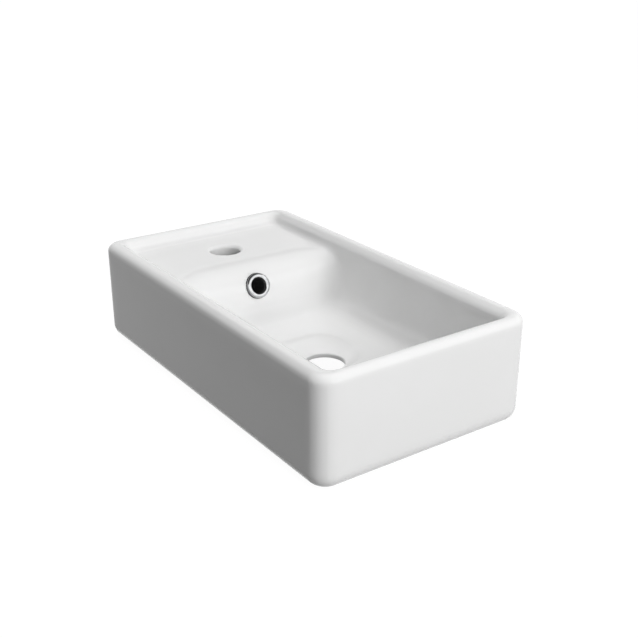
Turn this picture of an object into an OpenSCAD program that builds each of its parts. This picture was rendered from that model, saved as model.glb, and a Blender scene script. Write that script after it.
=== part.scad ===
// Wall-side hand basin with a tap shelf at the left end and the bowl at the right.
// Frame: X along the long side with the tap shelf at -X, +Y towards the wall, +Z up.
// The origin is the centre of the footprint, on the plane that the basin stands on.

/* [Outer body] */
// Overall length along the long side
body_l = 450; // [430:5:500]
// Overall depth from the front face to the wall face
body_w = 255; // [245:5:300]
// Overall height
body_h = 116; // [108:1:130]
// Radius of the upright corners, seen from above
corner_r = 21; // [18:1:30]
// Rounding of the outer top edge
top_edge_r = 9; // [4:0.5:10]
// Rounding of the outer bottom edge
bottom_edge_r = 15; // [8:1:16]

/* [Rim] */
// Rim thickness along both long sides
side_rim_t = 22; // [20:1:26]
// Rim thickness along both ends
end_rim_t = 13.5; // [13:0.5:18]
// Width of the rim's inner rounding along the long sides
side_roll = 11; // [4:1:12]
// Width of the rim's inner rounding along the ends
end_roll = 4; // [2:0.5:4]
// Height of the rim's inner rounding
roll_h = 8; // [4:1:9]
// Upright corner radius inside the rim
rim_corner_r = 10; // [8:1:16]

/* [Tap shelf] */
// Drop from the rim top to the tap shelf
shelf_drop = 15; // [13:1:17]
// Thickness of the shelf away from the tap hole
shelf_t = 10; // [9:1:12]
// Hollow rounding where the shelf meets the rim
shelf_fillet_r = 7; // [3:0.5:8]
// Where the flat of the shelf ends and rolls into the bowl
shelf_end_x = -117.5; // [-125:0.5:-115]
// Radius of the roll from the shelf into the bowl
shelf_roll_r = 38; // [34:1:40]
// Diameter of the tap hole
tap_hole_d = 35; // [34:0.5:36]
// Centre of the tap hole along the basin
tap_x = -155; // [-160:1:-150]
// Rounding of the tap hole's glazed edge
tap_edge_r = 4.5; // [2:0.5:5]
// Thickness of the thickened land round the tap hole
tap_land_t = 22; // [20:1:26]
// Diameter of that land under the shelf
tap_land_d = 62; // [56:1:70]

/* [Bowl] */
// Height of the bowl floor at the foot of its walls
floor_z = 35.5; // [35:0.5:38]
// Height of the bowl floor at the waste hole
waste_z = 32; // [30:0.5:32]
// Hollow rounding between the walls and the floor
floor_r = 25; // [20:1:26]
// Upright corner radius of the bowl, just above that rounding
bowl_corner_r = 22; // [14:1:24]
// Upright corner radius left where the rounding meets the floor
floor_corner_r = 6; // [4:1:10]
// Underside of the bowl floor
floor_under_z = 25.5; // [24:0.5:27]
// Diameter of the waste hole
waste_d = 44; // [43:0.5:46]
// Centre of the waste hole along the basin
waste_x = 53; // [48:1:58]
// Rounding of the waste hole's glazed edge
waste_edge_r = 1.5; // [1:0.5:2.5]
// Length and width of the shallow dish round the waste hole
dish_l = 100; // [84:1:116]
dish_w = 104; // [90:2:120]
// Corner radius at the dish's shelf end; its other end is a half circle
dish_r = 30; // [24:1:34]
// Width of the dish's sloping edge along its sides, at its shelf end and past the waste
dish_edge_w = 11; // [6:1:14]
dish_heel_w = 15; // [8:1:20]
dish_toe_w = 4; // [3:0.5:8]
// Drop over the dish's sloping edge
dish_drop = 1.4; // [0.8:0.2:2.6]
// Fall of the floor from its walls to the dish
floor_fall = 0.5; // [0.2:0.1:0.8]

/* [Underside] */
// Wall thickness of the skirt
skirt_t = 12; // [10:0.5:13]
// Width of the foot that the basin stands on
foot_w = 24; // [20:1:28]
// Height of the foot
foot_h = 9; // [6:1:12]
// Diameter of the two wall bolt holes
bolt_d = 12; // [10:1:14]
// Distance between the two wall bolt holes
bolt_spacing = 240; // [200:10:260]
// Height of the wall bolt holes
bolt_z = 30; // [26:1:32]

/* [Overflow fitting] */
// Lean of the overflow axis above the horizontal
overflow_lean = 22; // [18:1:26]
// Diameter of the overflow hole through the ceramic
overflow_hole_d = 24; // [23.5:0.5:26]
// Depth of the flat seat below the rolled wall
seat_depth = 1.2; // [0.8:0.2:1.6]
// Ceramic left between the front seat and the rear seat
seat_wall_t = 9; // [8:0.5:10]
// Outer diameter of the bezel
bezel_d = 29.4; // [29:0.2:33]
// Diameter of the bezel's opening
bezel_open_d = 19.8; // [19.2:0.2:21.6]
// Thickness of the bezel's domed front
bezel_t = 3.2; // [2.4:0.1:3.6]
// Rounding of the bezel's outer edge and of the edge of its opening
bezel_edge_r = 3.4; // [2.4:0.1:3.8]
bezel_open_r = 0.7; // [0.4:0.1:0.8]
// Thickness of the tube's flange under the bezel
flange_t = 1; // [0.8:0.1:2]
// Thickness of the front seal, and how far it shows round the bezel
front_seal_t = 0.8; // [0.5:0.1:1.5]
seal_lip = 0.4; // [0.1:0.1:0.6]
// Thickness of the rear seal
rear_seal_t = 1.5; // [1:0.5:3]
// Outer diameter of the tube through the ceramic
tube_d = 23.2; // [22:0.2:23.2]
// Bore of the tube and of the elbow's bend
tube_bore_d = 19; // [16:0.2:19.2]
// Outer diameter of the backnut, over its lugs
nut_d = 32; // [31:0.5:33]
// Length of the backnut
nut_l = 7; // [5:1:9]
// Number of grip lugs on the backnut
nut_lugs = 8; // [6:1:12]
// Length of tube behind the backnut, which the elbow's socket takes
tube_tail = 6; // [4:1:9]
// Wall of the elbow's socket
socket_wall = 1.8; // [1.2:0.2:2.4]
// Radius of the elbow's bend, on its centre line
bend_r = 13; // [12.5:0.5:16]
// Outer diameter of the hose stop above the spigot
stop_d = 25; // [24:0.5:27]
// Outer diameter of the hose spigot
spigot_d = 19; // [17:0.5:19.5]
// Bore of the hose spigot
spigot_bore_d = 15; // [12:0.5:15.5]
// Length of the straight hose spigot
spigot_l = 26; // [20:1:30]

/* [Hidden] */

// Facets of round parts, and steps along the curved stretches of the bowl
round_fn = 96;
corner_steps = 8;
roll_steps = 14;
brim_steps = 7;
fillet_steps = 9;
dish_steps = 6;
// Overshoot of a cut past the face that it opens
slack = 1;
// Gap between two pieces that slide together, and between two that stay apart
fit_gap = 0.1;
part_gap = 0.2;
glaze = "#f4f5f4";
bright_plate = "#c8cbce";
black_plastic = "#1d1e20";
black_rubber = "#2a2a2b";

// Outer block
half_l = body_l / 2;
half_w = body_w / 2;
post_x = half_l - corner_r;
post_y = half_w - corner_r;

// Rim and shelf
shelf_z = body_h - shelf_drop;
inner_x = half_l - end_rim_t;
inner_y = half_w - side_rim_t;
roll_centre_z = shelf_z - shelf_roll_r;
wall_foot_x = shelf_end_x + shelf_roll_r;
shelf_fillet = min(shelf_fillet_r, shelf_drop - roll_h);
skin_r = shelf_roll_r - shelf_t;

// Bowl
floor_fillet = min(floor_r, roll_centre_z - floor_z - 2);
floor_curve_z = floor_z + floor_fillet;
floor_start_x = wall_foot_x + floor_fillet;
floor_edge_y = inner_y - floor_fillet;
floor_skin_r = floor_curve_z - floor_under_z;
dish_lip_z = floor_z - floor_fall;
dish_foot_z = dish_lip_z - dish_drop;
waste_flat_r = waste_d / 2 + waste_edge_r + 1;
dish_right_x = waste_x + waste_flat_r + dish_toe_w + 1.5;
dish_left_x = dish_right_x - dish_l;
dish_end_r = dish_w / 2;
dish_corner_r = min(dish_r, dish_l - dish_end_r);

// Underside
hollow_x = half_l - skirt_t;
hollow_y = half_w - skirt_t;
hollow_corner_r = 12;
mouth_x = half_l - foot_w;
mouth_y = half_w - foot_w;
mouth_corner_r = 10;
side_hollow_top = bolt_z + bolt_d;

// Overflow fitting, along its own axis: u is 0 on the front seat and grows outwards
seat_x = shelf_end_x + (shelf_roll_r - seat_depth) * cos(overflow_lean);
seat_z = roll_centre_z + (shelf_roll_r - seat_depth) * sin(overflow_lean);
seat_r = bezel_d / 2 + seal_lip + 0.6;
bezel_skirt_t = 0.55;
flange_r = bezel_d / 2 - bezel_skirt_t - fit_gap;
flange_u = front_seal_t + flange_t;
rear_seat_u = -seat_wall_t;
nut_front_u = rear_seat_u - rear_seal_t;
nut_back_u = nut_front_u - nut_l;
tube_end_u = nut_back_u - tube_tail;
socket_front_u = nut_back_u - part_gap;
socket_floor_u = tube_end_u - part_gap;
joint_lap = 0.8;
bend_u = socket_floor_u - joint_lap;
pocket_r = nut_d / 2 + 1;
bend_x = seat_x + bend_u * cos(overflow_lean) + bend_r * sin(overflow_lean);
bend_z = seat_z + bend_u * sin(overflow_lean) - bend_r * cos(overflow_lean);
spigot_x = bend_x - bend_r;
stop_t = 2.5;
spigot_top_z = bend_z + joint_lap - stop_t;

// Points of a rounded rectangle at one height. Its left and right sides sit
// anywhere along X, its right corners may have their own radius, and every ring
// has the same number of points.
function ring(xl, xr, yh, r, z, right_r = 0) =
    let (e = right_r > 0 ? right_r : r, radius = [e, r, r, e],
        cx = [xr - e, xl + r, xl + r, xr - e], cy = [yh - e, yh - r, r - yh, e - yh])
    [for (q = [0:3]) for (k = [0:corner_steps])
        let (a = 90 * q + 90 * k / corner_steps)
        [cx[q] + radius[q] * cos(a), cy[q] + radius[q] * sin(a), z]];

// Points of a circle in the same order, for the floor that closes on the waste.
function circle_ring(x, r, z) =
    [for (q = [0:3]) for (k = [0:corner_steps])
        let (a = 90 * q + 90 * (k + 0.5) / (corner_steps + 1))
        [x + r * cos(a), r * sin(a), z]];

// Closed skin over a stack of rings, given from the lowest to the highest.
module loft(rings) {
    n = len(rings[0]);
    m = len(rings);
    points = [for (r = rings) for (p = r) p];
    sides = [for (j = [0:m - 2]) for (i = [0:n - 1])
        let (a = j * n + i, b = j * n + (i + 1) % n)
        each [[a, a + n, b + n], [a, b + n, b]]];
    bottom = [[for (i = [0:n - 1]) i]];
    top = [[for (i = [n - 1:-1:0]) (m - 1) * n + i]];
    polyhedron(points = points, faces = concat(sides, bottom, top), convexity = 6);
}

// What a rounding of radius r takes off a square corner.
module corner_waste(r) {
    difference() {
        square(r + slack);
        circle(r = r, $fn = round_fn);
    }
}

// Outline of the outer wall, from the axis of an upright corner outwards.
module edge_profile() {
    difference() {
        square([corner_r, body_h]);
        translate([corner_r - top_edge_r, body_h - top_edge_r])
            corner_waste(top_edge_r);
        translate([corner_r - bottom_edge_r, bottom_edge_r])
            mirror([0, 1])
                corner_waste(bottom_edge_r);
    }
}

// Outer block: four upright corners, four edge walls between them and a core.
module outer_block() {
    turns = [[1, 1, 0], [-1, 1, 90], [-1, -1, 180], [1, -1, 270]];
    for (t = turns)
        translate([t[0] * post_x, t[1] * post_y, 0])
            rotate([0, 0, t[2]])
                rotate_extrude(angle = 90, $fn = round_fn)
                    edge_profile();
    for (turn = [0, 180])
        rotate([0, 0, turn]) {
            translate([post_x, post_y, 0])
                rotate([90, 0, 0])
                    linear_extrude(2 * post_y)
                        edge_profile();
            translate([-post_x, post_y, 0])
                rotate([90, 0, 90])
                    linear_extrude(2 * post_x)
                        edge_profile();
        }
    translate([-post_x, -post_y, 0])
        cube([2 * post_x, 2 * post_y, body_h]);
}

// Space inside the rim: the hollow rounding at its foot, the straight wall and
// the roll over the rim's inner edge.
module rim_recess() {
    foot = [for (k = [0:brim_steps])
        let (a = 90 * k / brim_steps, inset = shelf_fillet * (1 - sin(a)))
        ring(-inner_x + inset, inner_x - inset, inner_y - inset, rim_corner_r - inset,
            shelf_z + shelf_fillet * (1 - cos(a)))];
    brim = [for (k = [1:brim_steps])
        let (a = 90 * k / brim_steps, ex = end_roll * (1 - cos(a)),
            ey = side_roll * (1 - cos(a)))
        ring(-inner_x - ex, inner_x + ex, inner_y + ey, rim_corner_r + min(ex, ey),
            body_h - roll_h * (1 - sin(a)))];
    over = [ring(-inner_x - end_roll, inner_x + end_roll, inner_y + side_roll,
        rim_corner_r + min(end_roll, side_roll), body_h + slack)];
    loft(concat(foot, brim, over));
}

// Upright corner radius of the bowl at one height: the rim's at the shelf, and the
// bowl's own from half way down.
function corner_at(z) =
    let (share = min(1, 2 * (shelf_z - z) / (shelf_z - floor_curve_z)))
    rim_corner_r + (bowl_corner_r - rim_corner_r) * sin(90 * share);

// Space of the bowl below the shelf. Its left wall rolls down from the shelf in
// one arc and meets the floor in a second one; the other walls are upright.
module bowl_space() {
    waste = [circle_ring(waste_x, waste_flat_r, waste_z)];
    dish = [for (k = [0:dish_steps])
        let (s = k / dish_steps, away = 1 - s)
        ring(dish_left_x + dish_heel_w * away, dish_right_x - dish_toe_w * away,
            dish_end_r - dish_edge_w * away, dish_corner_r - dish_edge_w * away / 2,
            dish_foot_z + dish_drop * (1 - cos(180 * s)) / 2,
            dish_end_r - dish_edge_w * away)];
    curve = [for (k = [0:fillet_steps])
        let (a = 90 * k / fillet_steps, s = 1 - sin(a), inset = floor_fillet * s,
            r = bowl_corner_r - (bowl_corner_r - floor_corner_r) * s)
        ring(wall_foot_x + inset, inner_x - inset, inner_y - inset, r,
            floor_z + floor_fillet * (1 - cos(a)))];
    roll = [for (k = [0:roll_steps])
        let (a = 90 * k / roll_steps, z = roll_centre_z + shelf_roll_r * sin(a))
        ring(shelf_end_x + shelf_roll_r * cos(a), inner_x, inner_y, corner_at(z), z)];
    over = [ring(shelf_end_x, inner_x, inner_y, rim_corner_r, shelf_z + shelf_fillet)];
    loft(concat(waste, dish, curve, roll, over));
}

// Hollow rounding between the shelf and the long walls, carried on down the roll.
module roll_fillet() {
    sink = 0.15;
    for (side = [0, 1])
        mirror([0, side, 0])
            translate([shelf_end_x, 0, roll_centre_z])
                rotate([90, 0, 0])
                    rotate_extrude(angle = 90, $fn = round_fn)
                        difference() {
                            translate([shelf_roll_r - slack, inner_y - shelf_fillet])
                                square(shelf_fillet + slack);
                            translate([shelf_roll_r + shelf_fillet - sink, inner_y - shelf_fillet + sink])
                                circle(r = shelf_fillet, $fn = round_fn);
                        }
}

// Upright prism with round corners, centred on the footprint.
module round_prism(hx, hy, r, z0, z1) {
    translate([-hx, r - hy, z0])
        cube([2 * hx, 2 * (hy - r), z1 - z0]);
    translate([r - hx, -hy, z0])
        cube([2 * (hx - r), 2 * hy, z1 - z0]);
    for (sx = [-1, 1], sy = [-1, 1])
        translate([sx * (hx - r), sy * (hy - r), z0])
            cylinder(r = r, h = z1 - z0, $fn = round_fn);
}

// Side view of the hollow under the shelf and under the bowl floor.
module hollow_side_view() {
    translate([-half_l, 0])
        square([half_l + shelf_end_x, shelf_z - shelf_t]);
    translate([shelf_end_x, roll_centre_z])
        circle(r = skin_r, $fn = round_fn);
    translate([shelf_end_x - slack, 0])
        square([skin_r + slack, roll_centre_z]);
    translate([shelf_end_x, 0])
        square([half_l - shelf_end_x, floor_under_z]);
    difference() {
        translate([shelf_end_x, 0])
            square([floor_start_x - shelf_end_x, floor_curve_z]);
        translate([floor_start_x, floor_curve_z])
            circle(r = floor_skin_r, $fn = round_fn);
    }
}

// End view of the gap between the bowl and one long side of the skirt.
module hollow_end_view() {
    difference() {
        translate([floor_edge_y, 0])
            square([half_w - floor_edge_y, side_hollow_top]);
        translate([floor_edge_y, floor_curve_z])
            circle(r = floor_skin_r, $fn = round_fn);
    }
}

// Hollow under the basin, open at the mouth between the feet.
module under_hollow() {
    intersection() {
        round_prism(hollow_x, hollow_y, hollow_corner_r, foot_h, shelf_z);
        union() {
            translate([0, half_w, 0])
                rotate([90, 0, 0])
                    linear_extrude(body_w)
                        hollow_side_view();
            for (turn = [0, 180])
                rotate([0, 0, turn])
                    translate([-half_l, 0, 0])
                        rotate([90, 0, 90])
                            linear_extrude(body_l)
                                hollow_end_view();
        }
    }
    round_prism(mouth_x, mouth_y, mouth_corner_r, -slack, foot_h + slack);
}

// Round hole downwards from a glazed face at z, with its upper edge rounded.
module edged_hole(r, edge, z, depth) {
    translate([0, 0, z - depth])
        cylinder(r = r, h = depth + slack, $fn = round_fn);
    translate([0, 0, z - edge])
        rotate_extrude($fn = round_fn)
            difference() {
                square([r + edge, edge + slack]);
                translate([r + edge, 0])
                    circle(r = edge, $fn = round_fn);
            }
}

// Places its children on the overflow axis, with their Z pointing into the bowl.
module on_overflow_axis() {
    translate([seat_x, 0, seat_z])
        rotate([0, 90 - overflow_lean, 0])
            children();
}

// Ring or disc between two stations of an axis.
module washer(outer_r, inner_r, u0, u1) {
    translate([0, 0, u0])
        difference() {
            cylinder(r = outer_r, h = u1 - u0, $fn = round_fn);
            translate([0, 0, -slack])
                cylinder(r = inner_r, h = u1 - u0 + 2 * slack, $fn = round_fn);
        }
}

// One-piece glazed body: bowl, tap shelf, rim, skirt and foot.
module basin_body() {
    color(glaze)
        difference() {
            union() {
                difference() {
                    outer_block();
                    rim_recess();
                    bowl_space();
                    under_hollow();
                }
                roll_fillet();
                translate([tap_x, 0, shelf_z - tap_land_t])
                    cylinder(d = tap_land_d, h = tap_land_t - shelf_t / 2, $fn = round_fn);
                on_overflow_axis()
                    translate([0, 0, -shelf_t / 2])
                        cylinder(r = seat_r, h = shelf_t / 2, $fn = round_fn);
            }
            translate([tap_x, 0, 0])
                edged_hole(tap_hole_d / 2, tap_edge_r, shelf_z, tap_land_t + slack);
            translate([waste_x, 0, 0])
                edged_hole(waste_d / 2, waste_edge_r, waste_z, waste_z);
            on_overflow_axis() {
                translate([0, 0, -2 * seat_wall_t])
                    cylinder(d = overflow_hole_d, h = 3 * seat_wall_t, $fn = round_fn);
                cylinder(r = seat_r, h = seat_wall_t, $fn = round_fn);
                translate([0, 0, bend_u])
                    cylinder(r = pocket_r, h = rear_seat_u - bend_u, $fn = round_fn);
            }
            for (s = [-1, 1])
                translate([s * bolt_spacing / 2, half_w + slack, bolt_z])
                    rotate([90, 0, 0])
                        cylinder(d = bolt_d, h = skirt_t + 2 * slack, $fn = round_fn);
        }
}

// Plated cap that snaps over the tube's flange.
module overflow_bezel() {
    skirt_h = flange_t + bezel_t - part_gap;
    outer_edge = min(bezel_edge_r, skirt_h - fit_gap);
    open_edge = min(bezel_open_r, bezel_t - fit_gap);
    color(bright_plate)
        on_overflow_axis()
            rotate_extrude($fn = round_fn)
                difference() {
                    translate([bezel_open_d / 2, front_seal_t + part_gap])
                        square([(bezel_d - bezel_open_d) / 2, skirt_h]);
                    square([flange_r + fit_gap, flange_u]);
                    translate([bezel_d / 2 - outer_edge, flange_u + bezel_t - outer_edge])
                        corner_waste(outer_edge);
                    translate([bezel_open_d / 2 + open_edge, flange_u + bezel_t - open_edge])
                        mirror([1, 0])
                            corner_waste(open_edge);
                }
}

// Soft washer between the tube's flange and the glazed front seat.
module overflow_front_seal() {
    color(black_rubber)
        on_overflow_axis()
            washer(bezel_d / 2 + seal_lip, tube_d / 2 + part_gap, 0, front_seal_t);
}

// Threaded tube put in from the bowl, with the flange that the bezel covers.
module overflow_tube() {
    color(black_plastic)
        on_overflow_axis()
            difference() {
                union() {
                    translate([0, 0, front_seal_t])
                        cylinder(r = flange_r, h = flange_t, $fn = round_fn);
                    translate([0, 0, tube_end_u])
                        cylinder(d = tube_d, h = flange_u - tube_end_u, $fn = round_fn);
                }
                translate([0, 0, tube_end_u - slack])
                    cylinder(d = tube_bore_d, h = flange_u - tube_end_u + 2 * slack, $fn = round_fn);
            }
}

// Soft washer between the ceramic and the backnut.
module overflow_rear_seal() {
    color(black_rubber)
        on_overflow_axis()
            washer(nut_d / 2, tube_d / 2 + part_gap, nut_front_u, rear_seat_u);
}

// Backnut with grip lugs, run up the tube from behind.
module overflow_backnut() {
    lug_h = 2;
    lug_w = 4;
    lug_root = 1.5;
    lug_end = 0.6;
    color(black_plastic)
        on_overflow_axis()
            difference() {
                union() {
                    translate([0, 0, nut_back_u])
                        cylinder(r = nut_d / 2 - lug_h, h = nut_l, $fn = round_fn);
                    for (k = [0:nut_lugs - 1])
                        rotate([0, 0, 360 * (k + 0.5) / nut_lugs])
                            translate([nut_d / 2 - lug_h - lug_root, -lug_w / 2, nut_back_u + lug_end])
                                cube([lug_h + lug_root - 0.2, lug_w, nut_l - 2 * lug_end]);
                }
                translate([0, 0, nut_back_u - slack])
                    cylinder(r = tube_d / 2 + fit_gap, h = nut_l + 2 * slack, $fn = round_fn);
            }
}

// Bend of a round bar, from behind the tube's end down to the hose stop.
module elbow_bend(d) {
    translate([bend_x, 0, bend_z])
        rotate([90, 0, 0])
            rotate([0, 0, 90 + overflow_lean])
                rotate_extrude(angle = 90 - overflow_lean, $fn = round_fn)
                    translate([bend_r, 0])
                        circle(d = d, $fn = round_fn);
}

// Elbow pushed on the tube from behind: socket, bend, hose stop and spigot.
module overflow_elbow() {
    socket_r = tube_d / 2 + fit_gap;
    color(black_plastic)
        difference() {
            union() {
                on_overflow_axis()
                    translate([0, 0, bend_u - joint_lap])
                        cylinder(r = socket_r + socket_wall, h = socket_front_u - bend_u + joint_lap,
                            $fn = round_fn);
                elbow_bend(tube_d);
                translate([spigot_x, 0, spigot_top_z])
                    cylinder(d = stop_d, h = stop_t, $fn = round_fn);
                translate([spigot_x, 0, spigot_top_z - spigot_l])
                    cylinder(d = spigot_d, h = spigot_l + stop_t / 2, $fn = round_fn);
            }
            on_overflow_axis() {
                translate([0, 0, socket_floor_u])
                    cylinder(r = socket_r, h = socket_front_u - socket_floor_u + slack,
                        $fn = round_fn);
                translate([0, 0, bend_u - joint_lap / 2])
                    cylinder(d = tube_bore_d + 1, h = socket_floor_u - bend_u + slack,
                        $fn = round_fn);
            }
            elbow_bend(tube_bore_d);
            translate([spigot_x, 0, spigot_top_z - spigot_l - slack])
                cylinder(d = spigot_bore_d, h = bend_z - spigot_top_z + spigot_l + 2 * slack,
                    $fn = round_fn);
        }
}

basin_body();
overflow_bezel();
overflow_front_seal();
overflow_tube();
overflow_rear_seal();
overflow_backnut();
overflow_elbow();
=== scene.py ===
"""Glazed hand basin with a tap shelf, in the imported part's own frame.

The glazed body is one rule: a signed distance built from the basin's named sizes, turned into a mesh by
Geometry Nodes and drawn back on to its exact surface. The overflow fitting is turned and swept round its
axis. Sizes are in millimetres and meshes in metres.
"""

import logging
import math
from collections.abc import Callable, Sequence
from dataclasses import dataclass, fields
from enum import Enum

import bmesh
import bpy
from mathutils import Matrix, Vector


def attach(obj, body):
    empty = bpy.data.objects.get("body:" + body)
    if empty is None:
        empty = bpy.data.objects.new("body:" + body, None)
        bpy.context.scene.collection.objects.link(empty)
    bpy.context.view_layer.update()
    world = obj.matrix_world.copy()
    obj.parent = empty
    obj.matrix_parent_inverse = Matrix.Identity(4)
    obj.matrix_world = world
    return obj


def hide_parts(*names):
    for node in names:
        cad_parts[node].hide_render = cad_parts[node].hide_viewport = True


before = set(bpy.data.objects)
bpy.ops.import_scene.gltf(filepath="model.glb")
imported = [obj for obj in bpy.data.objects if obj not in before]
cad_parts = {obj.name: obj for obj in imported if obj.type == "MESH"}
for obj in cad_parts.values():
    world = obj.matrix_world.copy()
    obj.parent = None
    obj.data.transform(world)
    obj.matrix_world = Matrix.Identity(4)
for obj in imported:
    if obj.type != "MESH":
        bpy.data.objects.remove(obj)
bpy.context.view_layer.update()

MM = 0.001
FULL_TURN = 2 * math.pi
WHITE = (1.0, 1.0, 1.0, 1.0)
LOG = logging.getLogger("hand_basin")

Number = "Field | float"
Colour = tuple[float, float, float]
Paint = Colour | bpy.types.NodeSocket
Station = tuple[float, float]


class Body(Enum):
    """The CAD bodies that pieces ride on."""

    ROOT = "root"


class Slot(Enum):
    """The pieces' material slots."""

    GLAZE = "glaze"
    PLATING = "plating"
    FITTING = "fitting"
    SEAL = "seal"


# Fields


class Field:
    """A number that varies over space: an output socket of a node tree, with arithmetic."""

    def __init__(self, tree: bpy.types.NodeTree, socket: bpy.types.NodeSocket) -> None:
        """Wrap one socket.

        Args:
            tree: The node tree that new nodes go into.
            socket: The output socket that holds the number.
        """
        self.tree = tree
        self.socket = socket

    def math(self, operation: str, *others: Number) -> "Field":
        """Add a Math node on this number.

        Args:
            operation: The Math node's operation.
            *others: Its second and third operands.

        Returns:
            The node's result.
        """
        node = self.tree.nodes.new("ShaderNodeMath")
        node.operation = operation
        for socket, value in zip(node.inputs, (self, *others)):
            feed(self.tree, socket, value)
        return Field(self.tree, node.outputs[0])

    def __add__(self, other: Number) -> "Field":
        """Return the sum."""
        return self.math("ADD", other)

    def __sub__(self, other: Number) -> "Field":
        """Return the difference."""
        return self.math("SUBTRACT", other)

    def __rsub__(self, other: float) -> "Field":
        """Return other minus this."""
        return (-self).math("ADD", other)

    def __mul__(self, other: Number) -> "Field":
        """Return the product."""
        return self.math("MULTIPLY", other)

    def __truediv__(self, other: Number) -> "Field":
        """Return the quotient."""
        return self.math("DIVIDE", other)

    def __neg__(self) -> "Field":
        """Return the negative."""
        return self.math("MULTIPLY", -1.0)

    __radd__ = __add__
    __rmul__ = __mul__

    def size(self) -> "Field":
        """Return the absolute value."""
        return self.math("ABSOLUTE")

    def at_least(self, other: Number) -> "Field":
        """Return the larger of the two."""
        return self.math("MAXIMUM", other)

    def at_most(self, other: Number) -> "Field":
        """Return the smaller of the two."""
        return self.math("MINIMUM", other)

    def eased(self, start: Number, end: Number) -> "Field":
        """Go smoothly from 0 at start to 1 at end.

        Args:
            start: Where the result is 0.
            end: Where the result is 1; it may be the lower of the two.

        Returns:
            The eased share, held at 0 and 1 outside the span.
        """
        share = ((self - start) / (end - start)).at_least(0.0).at_most(1.0)
        return share * share * (3.0 - share * 2.0)


def feed(tree: bpy.types.NodeTree, socket: bpy.types.NodeSocket, value: object) -> None:
    """Link a field to a socket, or set the socket's own value.

    Args:
        tree: The tree that both belong to.
        socket: The input socket.
        value: A Field, another socket, or a plain value.
    """
    if isinstance(value, Field):
        tree.links.new(value.socket, socket)
    elif isinstance(value, bpy.types.NodeSocket):
        tree.links.new(value, socket)
    else:
        socket.default_value = value


def add_node(tree: bpy.types.NodeTree, kind: str, *inputs: object) -> bpy.types.Node:
    """Add a node and feed its inputs in their order.

    Args:
        tree: The node tree.
        kind: The node's type.
        *inputs: Values, fields or sockets.

    Returns:
        The node.
    """
    made = tree.nodes.new(kind)
    for socket, value in zip(made.inputs, inputs):
        feed(tree, socket, value)
    return made


def in_millimetres(tree: bpy.types.NodeTree, place: bpy.types.NodeSocket) -> tuple[Field, Field, Field]:
    """Split a place in metres into its three parts in millimetres.

    Args:
        tree: The node tree.
        place: The socket that holds the place.

    Returns:
        The fields x, y and z.
    """
    split = add_node(tree, "ShaderNodeSeparateXYZ", place)
    x, y, z = (Field(tree, out) * (1 / MM) for out in split.outputs)
    return x, y, z


def length(*parts: Field) -> Field:
    """Return the length of a vector.

    Args:
        *parts: Its parts.

    Returns:
        The root of the sum of their squares.
    """
    total = parts[0] * parts[0]
    for part in parts[1:]:
        total = total + part * part
    return total.math("SQRT")


def share_of(part: Field, rest: Field, spare: float = 0.0001) -> Field:
    """Return part / (part + rest), with a little to spare so that it never divides by zero."""
    return part / (part + rest + spare)


def rounded_meet(a: Field, b: Field, radius: Number) -> Field:
    """Keep what is inside both shapes, with their shared edge rounded.

    Args:
        a: Distance to the first shape, negative inside.
        b: Distance to the second shape.
        radius: Radius of the rounding.

    Returns:
        Distance to the shared space.
    """
    u = a + radius
    v = b + radius
    return length(u.at_least(0.0), v.at_least(0.0)) + u.at_least(v).at_most(0.0) - radius


def filled_join(a: Field, b: Field, radius: Number) -> Field:
    """Join two shapes, with a hollow fillet of a radius in the corner between them."""
    return -rounded_meet(-a, -b, radius)


def rolled_meet(a: Field, b: Field, across: Number, down: Number) -> Field:
    """Keep what is inside both shapes, with a quarter ellipse along their shared edge.

    Args:
        a: Distance to the upright face.
        b: Distance to the level face.
        across: Width of the roll, measured from the upright face.
        down: Height of the roll, measured from the level face.

    Returns:
        Distance to the shared space.
    """
    never_zero = 0.000001
    u = a + across
    v = b + down
    ku = u.at_least(0.0) / across
    kv = v.at_least(0.0) / down
    scale = (ku * ku * across + kv * kv * down) / (ku * ku + kv * kv + never_zero)
    inside = (u - across).at_least(v - down)
    on_roll = (length(ku, kv) - 1.0) * scale
    use_roll = u.at_least(v).math("GREATER_THAN", 0.0)
    return on_roll * use_roll + inside * (1.0 - use_roll)


def outline(x: Field, y: Field, half_x: Number, half_y: Number, radius: Number) -> Field:
    """Return the distance to a rounded rectangle seen from above, centred on x = y = 0."""
    return rounded_meet(x.size() - half_x, y.size() - half_y, radius)


# Sizes


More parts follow.
